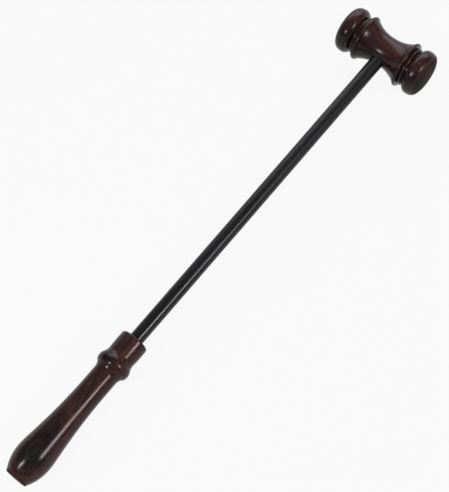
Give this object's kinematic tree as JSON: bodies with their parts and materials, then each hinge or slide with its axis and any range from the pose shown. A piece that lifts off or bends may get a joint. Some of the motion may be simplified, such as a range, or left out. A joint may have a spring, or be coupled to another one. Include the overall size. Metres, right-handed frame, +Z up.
{
  "type": "gavel",
  "caption": "Long handled wooden gavel: a spool-shaped turned head with domed knobs, a slim straight black shaft and a turned swelling grip with a flat butt.",
  "frame": {"origin": "on the surface that the gavel lies on, under the middle of its bounding box", "axes": "+Y along the shaft from the grip towards the head, +Z up from the surface, X along the head from one striking knob to the other"},
  "size_m": [0.079, 0.4472, 0.0374],
  "materials": {
    "rosewood": "dark reddish brown hardwood, clear varnish, glossy",
    "ebonised_wood": "black stained hardwood, satin",
    "wedge_wood": "mid brown hardwood end grain, trimmed flush and varnished"
  },
  "bodies": {
    "root": {"head": "rosewood", "shaft": "ebonised_wood", "tenon_wedge": "wedge_wood", "grip": "rosewood", "grip_pin": "rosewood"}
  },
  "joints": []
}
